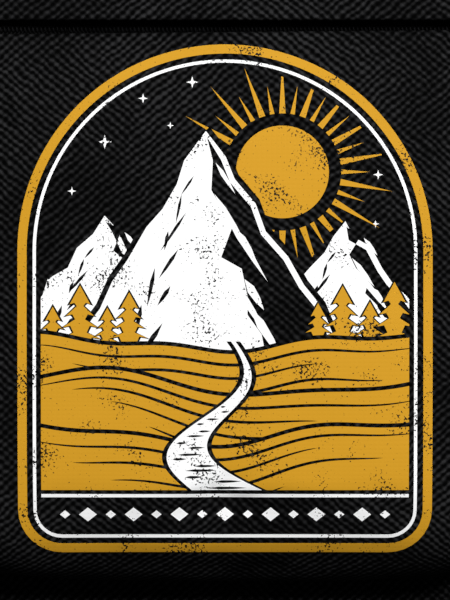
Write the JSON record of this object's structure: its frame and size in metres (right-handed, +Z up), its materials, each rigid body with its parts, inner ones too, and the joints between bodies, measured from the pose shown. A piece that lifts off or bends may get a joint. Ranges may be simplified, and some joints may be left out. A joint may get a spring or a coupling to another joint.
{
  "type": "printed daypack",
  "caption": "Black woven daypack with a printed zip pocket on the front, padded shoulder straps, side pockets and a haul loop.",
  "frame": {"origin": "middle of the base panel's underside, on the surface that the bag stands on", "axes": "+Z up, -Y out of the front pocket, +X to the right as seen from the front"},
  "size_m": [0.3328, 0.2369, 0.4569],
  "materials": {
    "woven_polyester": "coarse plain weave, dull sheen",
    "binding": "narrow woven binding tape",
    "webbing": "flat ribbed polypropylene webbing",
    "zip_tape": "twill zip tape with a nylon coil",
    "spacer_mesh": "open knitted spacer mesh over foam",
    "moulded_acetal": "moulded, fine spark texture",
    "lacquered_zinc": "die-cast, black lacquer",
    "print_white": "opaque screen-print ink, worn",
    "print_ochre": "opaque screen-print ink, worn"
  },
  "bodies": {
    "bag": {"base_panel": "woven_polyester", "body": "woven_polyester", "front_piping": "binding", "back_piping": "binding", "main_zip": "zip_tape", "front_pocket": "woven_polyester", "pocket_zip": "zip_tape", "back_pad": "spacer_mesh", "strap_yoke": "woven_polyester", "haul_loop": "webbing", "main_left_slider": "lacquered_zinc", "main_right_slider": "lacquered_zinc", "strap_left": "woven_polyester", "ladder_lock_left": "moulded_acetal", "lower_webbing_left": "webbing", "base_tab_left": "woven_polyester", "side_pocket_left": "woven_polyester", "side_pocket_hem_left": "binding", "strap_right": "woven_polyester", "ladder_lock_right": "moulded_acetal", "lower_webbing_right": "webbing", "base_tab_right": "woven_polyester", "side_pocket_right": "woven_polyester", "side_pocket_hem_right": "binding"},
    "pocket_slider": {"pocket_slider": "lacquered_zinc"},
    "pocket_pull": {"pocket_pull": "lacquered_zinc"},
    "main_left_pull": {"main_left_pull": "lacquered_zinc"},
    "main_right_pull": {"main_right_pull": "lacquered_zinc"}
  },
  "joints": [
    {"name": "pocket_slider_slide", "type": "slide", "parent": "bag", "child": "pocket_slider", "axis": [1, 0, 0], "range_m": [-0.006, 0.186]},
    {"name": "pocket_pull_hinge", "type": "hinge", "parent": "pocket_slider", "child": "pocket_pull", "pos_m": [-0.09, -0.11773, 0.248], "axis": [-1, 0, 0], "range_deg": [0, 172]},
    {"name": "main_left_pull_hinge", "type": "hinge", "parent": "bag", "child": "main_left_pull", "pos_m": [-0.015, -0.008, 0.4313], "axis": [-1, 0, 0], "range_deg": [0, 210]},
    {"name": "main_right_pull_hinge", "type": "hinge", "parent": "bag", "child": "main_right_pull", "pos_m": [0.015, -0.008, 0.4313], "axis": [-1, 0, 0], "range_deg": [0, 210]}
  ]
}
